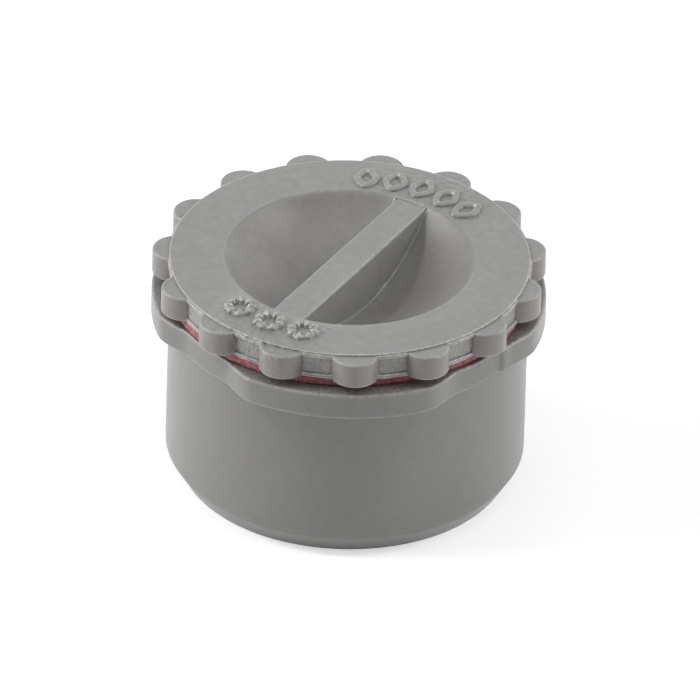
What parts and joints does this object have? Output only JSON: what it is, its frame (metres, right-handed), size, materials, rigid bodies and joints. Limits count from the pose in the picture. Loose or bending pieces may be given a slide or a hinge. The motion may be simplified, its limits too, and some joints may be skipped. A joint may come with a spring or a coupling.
{
  "type": "pipe access plug",
  "caption": "Grey plastic access plug for a drain pipe: a pipe end with a lobed collar, a flat rubber seal and a dished screw cap with finger lugs and a grip bar.",
  "frame": {"origin": "on the axis, in the plane of the pipe end's open tip, which the plug stands on", "axes": "+Z along the axis from the open pipe end to the cap; +X along the grip bar when the cap is closed"},
  "size_m": [0.09, 0.0896, 0.0549],
  "materials": {
    "body_plastic": "satin moulded PVC, mid grey",
    "cap_plastic": "satin moulded PVC, mid grey",
    "seal_rubber": "dull dusty red rubber"
  },
  "bodies": {
    "spigot": {"spigot_body": "body_plastic"},
    "seal": {"sealing_ring": "seal_rubber"},
    "cap": {"screw_cap": "cap_plastic"}
  },
  "joints": [
    {"name": "cap_lift", "type": "slide", "parent": "spigot", "child": "seal", "axis": [0, 0, 1], "range_m": [0, 0.015]},
    {"name": "cap_turn", "type": "hinge", "parent": "seal", "child": "cap", "pos_m": [0, 0, 0.0463], "axis": [0, 0, 1], "range_deg": [0, 1080]}
  ],
  "couplings": [
    {"joint": "cap_lift", "follows": "cap_turn", "m_per_rad": 0.00079577}
  ]
}
